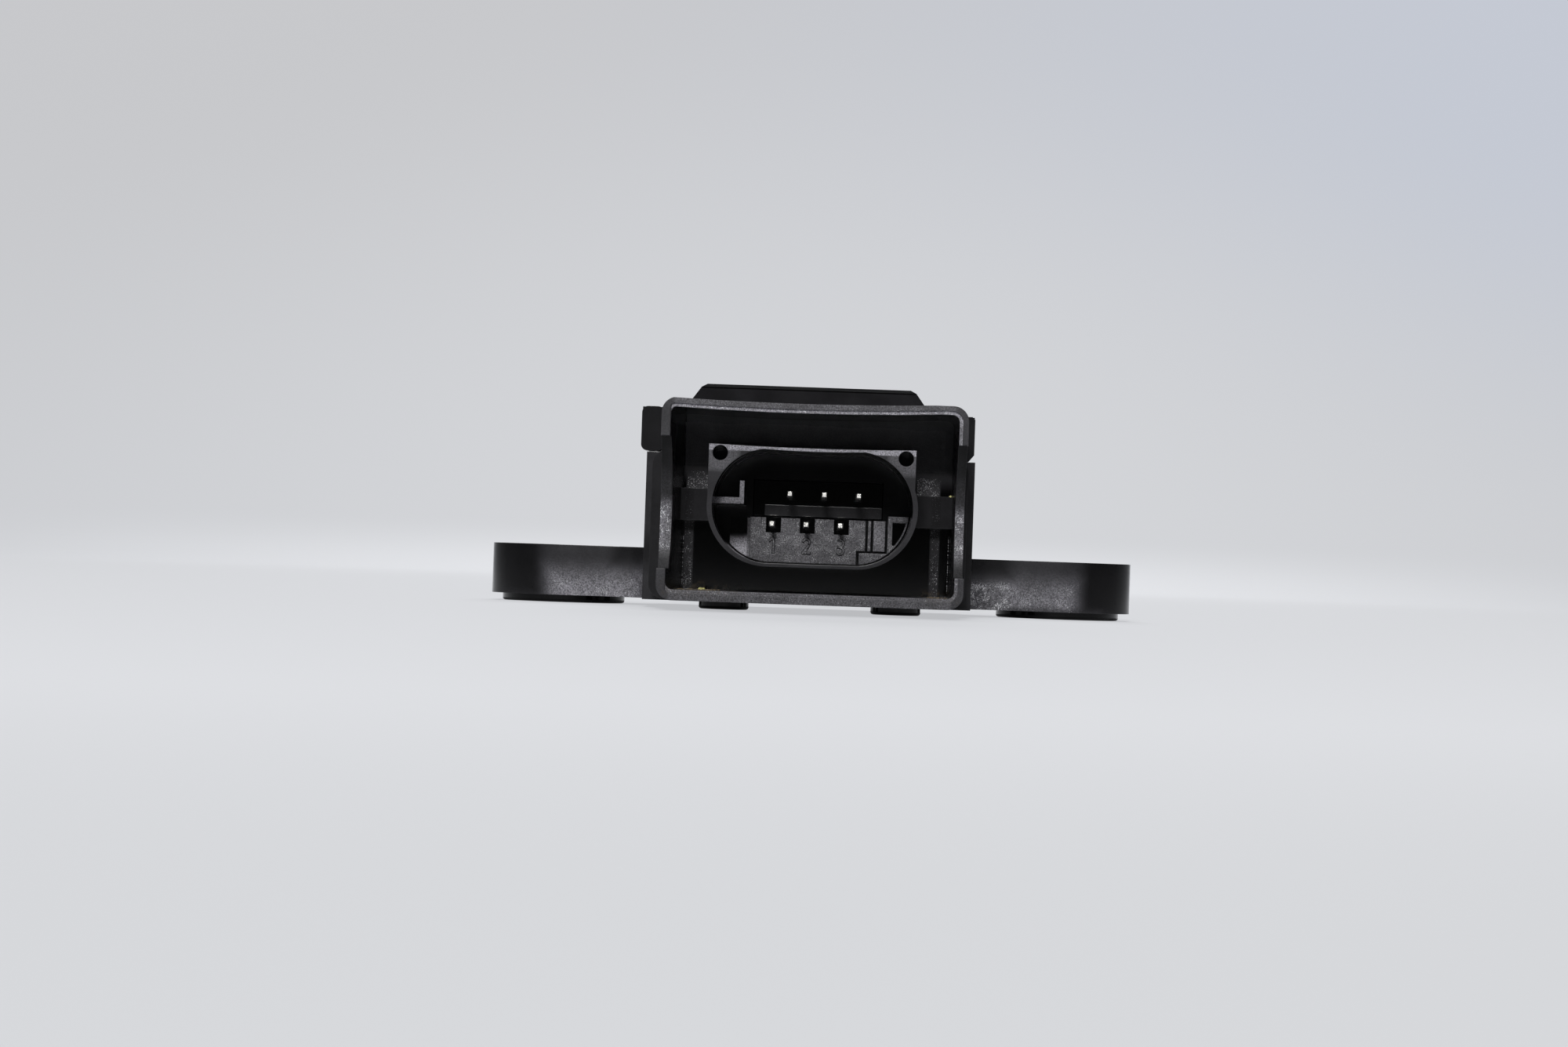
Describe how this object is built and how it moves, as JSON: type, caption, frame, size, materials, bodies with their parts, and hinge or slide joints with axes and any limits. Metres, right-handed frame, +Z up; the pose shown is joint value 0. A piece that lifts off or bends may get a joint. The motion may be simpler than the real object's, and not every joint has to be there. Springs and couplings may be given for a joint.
{
  "type": "acceleration sensor",
  "caption": "Black plastic vehicle acceleration and yaw-rate sensor with a deep plug collar, numbered pin block, lid and two sleeved mounting ears.",
  "frame": {"origin": "midway between the two bolt axes, on the face that the ears' pads rest on", "axes": "+Z up along the bolt axes, away from the mounting face; X through both bolt holes; the plug opening faces -Y"},
  "size_m": [0.08, 0.0581, 0.027],
  "materials": {
    "housing_plastic": "fine-grained, glass-filled, worn grey on the rims",
    "cover_plastic": "fine-grained, glass-filled",
    "sealant": "cured bead",
    "carrier_plastic": "satin, speckled",
    "tinned_pins": "bright tin plating",
    "sleeve_steel": "zinc plated",
    "board": "green solder mask",
    "solder": "bright",
    "chip_resin": "moulded resin",
    "crystal_can": "satin",
    "capacitor_yellow": "moulded resin",
    "capacitor_tan": "satin",
    "resistor_black": "satin",
    "choke_body": "satin",
    "road_dust": "dry crumbs and dust in the collar's corner"
  },
  "bodies": {
    "root": {"housing": "housing_plastic", "cover": "cover_plastic", "cover_seal": "sealant", "terminal_carrier": "carrier_plastic", "terminal_1": "tinned_pins", "terminal_2": "tinned_pins", "terminal_3": "tinned_pins", "terminal_4": "tinned_pins", "terminal_5": "tinned_pins", "terminal_6": "tinned_pins", "bush_left": "sleeve_steel", "bush_right": "sleeve_steel", "circuit_board": "board", "solder_joints": "solder", "yaw_rate_chip": "chip_resin", "accelerometer_chip": "chip_resin", "controller_chip": "chip_resin", "controller_leads": "solder", "transceiver_chip": "chip_resin", "transceiver_leads": "solder", "voltage_regulator": "chip_resin", "crystal": "crystal_can", "tantalum_capacitors": "capacitor_yellow", "ceramic_capacitors": "capacitor_tan", "chip_resistors": "resistor_black", "choke": "choke_body"}
  },
  "joints": []
}
